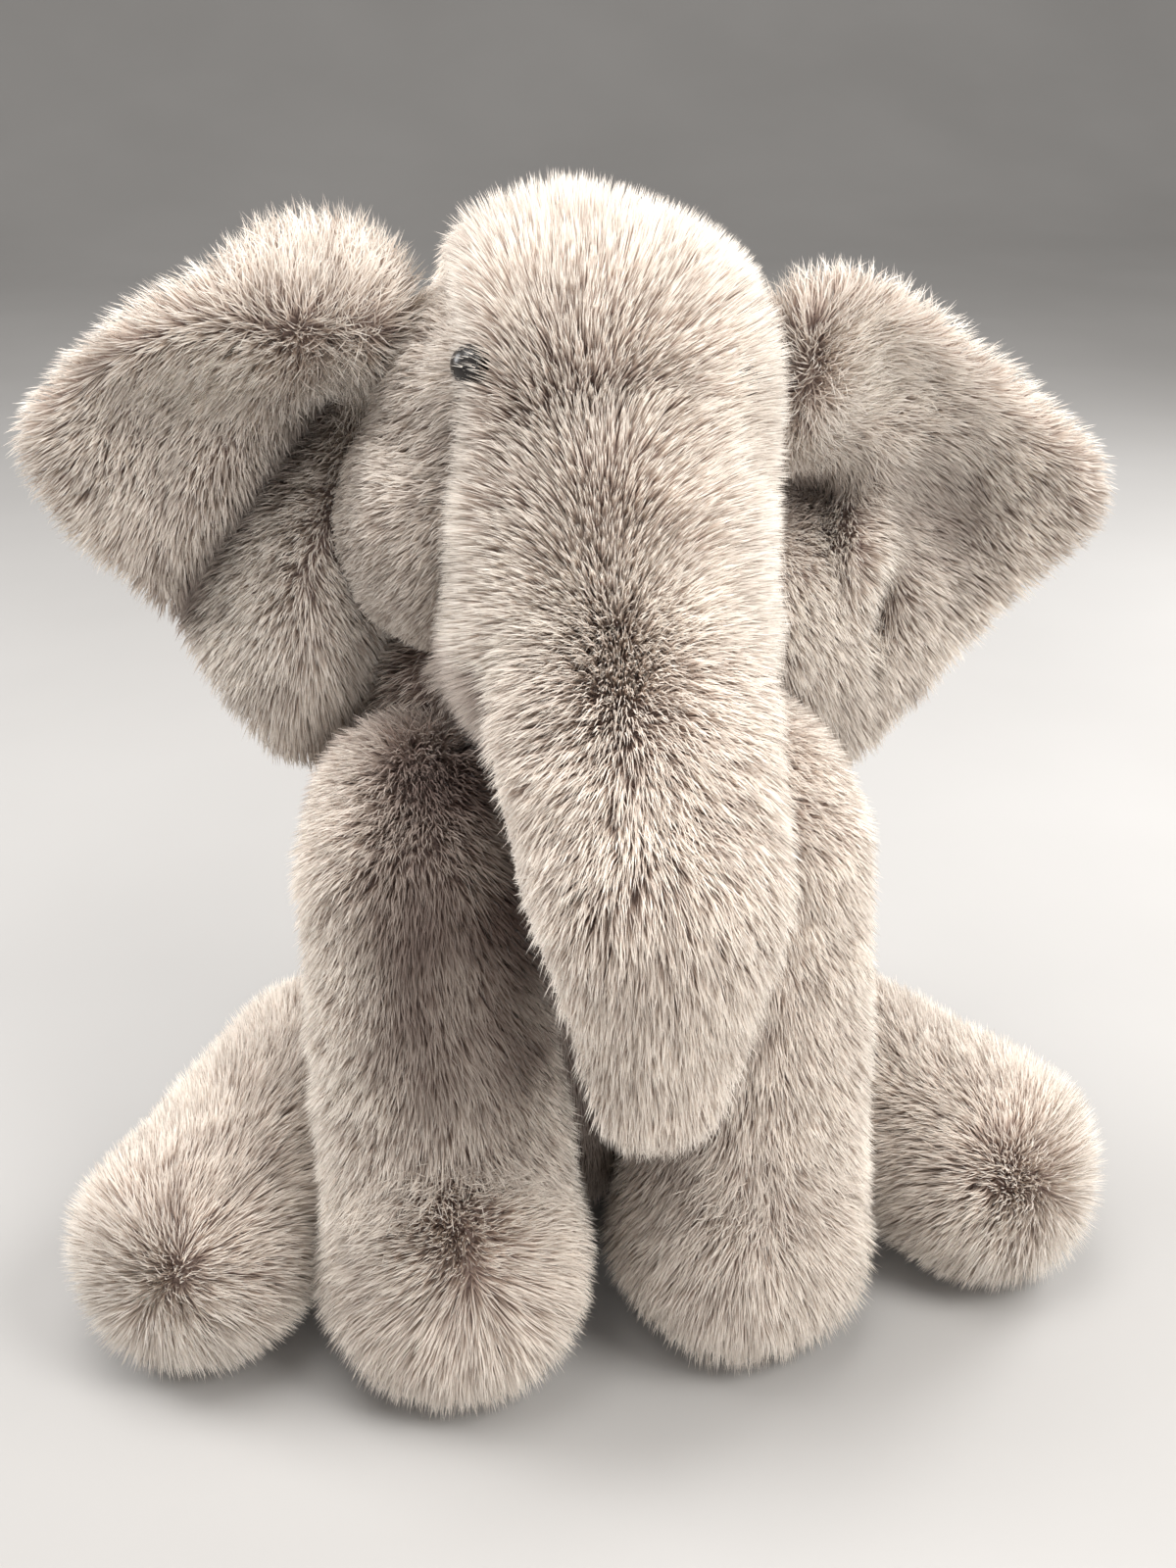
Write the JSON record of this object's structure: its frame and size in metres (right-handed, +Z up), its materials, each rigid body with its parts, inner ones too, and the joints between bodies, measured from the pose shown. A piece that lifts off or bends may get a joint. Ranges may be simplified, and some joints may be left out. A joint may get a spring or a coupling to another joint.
{
  "type": "seated plush elephant",
  "caption": "Soft sewn elephant that sits upright, with a long hanging trunk, broad ears, column front legs and splayed hind feet.",
  "frame": {"origin": "middle of the flat patch of the seat panel that the toy sits on", "axes": "+Z up, -Y the way the toy looks, +X its own left side"},
  "size_m": [0.2768, 0.223, 0.2814],
  "materials": {
    "fur": "long pile faux fur, taupe with cream tips",
    "fur_pale": "long pile faux fur, paler side panels",
    "fur_deep": "long pile faux fur in shade, underside panels",
    "polyester_filling": "carded polyester fibre",
    "pouch_cloth": "plain woven cotton",
    "pellets": "polyethylene pellets",
    "washer_plastic": "natural nylon",
    "eye_plastic": "polished black",
    "thread": "doubled polyester thread"
  },
  "bodies": {
    "body": {"seat_panel": "fur_deep", "belly_panel": "fur_deep", "back_panel_left": "fur", "back_panel_right": "fur", "body_stuffing": "polyester_filling", "seat_pouch": "pouch_cloth", "seat_pellets": "pellets"},
    "neck": {"neck_stuffing": "polyester_filling", "neck_stitch": "thread"},
    "head": {"head_gusset": "fur", "head_side_left": "fur_pale", "head_side_right": "fur_pale", "chin_panel": "fur_deep", "head_stuffing": "polyester_filling", "eye_left": "eye_plastic", "eye_right": "eye_plastic", "eye_washer_left": "washer_plastic", "eye_washer_right": "washer_plastic"},
    "trunk": {"trunk_front": "fur", "trunk_side_left": "fur_pale", "trunk_side_right": "fur_pale", "trunk_stuffing": "polyester_filling"},
    "ear_left": {"ear_front_left": "fur_pale", "ear_back_left": "fur"},
    "ear_right": {"ear_front_right": "fur_pale", "ear_back_right": "fur"},
    "foreleg_left": {"foreleg_skin_left": "fur", "foreleg_sole_left": "fur_pale", "foreleg_stuffing_left": "polyester_filling"},
    "foreleg_right": {"foreleg_skin_right": "fur", "foreleg_sole_right": "fur_pale", "foreleg_stuffing_right": "polyester_filling"},
    "hindleg_left": {"hindleg_skin_left": "fur", "hindleg_sole_left": "fur_pale", "hindleg_stuffing_left": "polyester_filling", "foot_pouch_left": "pouch_cloth"},
    "hindleg_right": {"hindleg_skin_right": "fur", "hindleg_sole_right": "fur_pale", "hindleg_stuffing_right": "polyester_filling", "foot_pouch_right": "pouch_cloth"},
    "tail": {"tail_skin": "fur", "tail_tuft": "fur_pale"}
  },
  "joints": [
    {"name": "neck_turn", "type": "hinge", "parent": "body", "child": "neck", "pos_m": [0, -0.03089, 0.15597], "axis": [0, 0, 1], "range_deg": [-3, 3], "stiffness_Nm_per_rad": 1.2},
    {"name": "head_nod", "type": "hinge", "parent": "neck", "child": "head", "pos_m": [0, -0.03089, 0.15597], "axis": [1, 0, 0], "range_deg": [-12, 4], "stiffness_Nm_per_rad": 2.5},
    {"name": "trunk_lift", "type": "hinge", "parent": "head", "child": "trunk", "pos_m": [0.002, -0.08381, 0.18749], "axis": [-1, 0, 0], "range_deg": [0, 40], "stiffness_Nm_per_rad": 0.6},
    {"name": "ear_flap_left", "type": "hinge", "parent": "head", "child": "ear_left", "pos_m": [0.05224, -0.02081, 0.20405], "axis": [0.1045, 0, 0.9945], "range_deg": [-20, 20], "stiffness_Nm_per_rad": 0.15},
    {"name": "ear_flap_right", "type": "hinge", "parent": "head", "child": "ear_right", "pos_m": [-0.05119, -0.02081, 0.21492], "axis": [-0.1045, 0, -0.9945], "range_deg": [-20, 20], "stiffness_Nm_per_rad": 0.15},
    {"name": "foreleg_swing_left", "type": "hinge", "parent": "body", "child": "foreleg_left", "pos_m": [0.04146, -0.06941, 0.132], "axis": [-1, 0, 0], "range_deg": [0, 25]},
    {"name": "foreleg_swing_right", "type": "hinge", "parent": "body", "child": "foreleg_right", "pos_m": [-0.04146, -0.06941, 0.132], "axis": [-1, 0, 0], "range_deg": [0, 25]},
    {"name": "hindleg_splay_left", "type": "hinge", "parent": "body", "child": "hindleg_left", "pos_m": [0.062, -0.0075, 0.038], "axis": [0, 0, 1], "range_deg": [0, 16]},
    {"name": "hindleg_splay_right", "type": "hinge", "parent": "body", "child": "hindleg_right", "pos_m": [-0.062, -0.0075, 0.038], "axis": [0, 0, -1], "range_deg": [0, 16]},
    {"name": "tail_wag", "type": "hinge", "parent": "body", "child": "tail", "pos_m": [0, 0.0509, 0.06408], "axis": [0, 1, 0], "range_deg": [-30, 30], "stiffness_Nm_per_rad": 0.02}
  ]
}
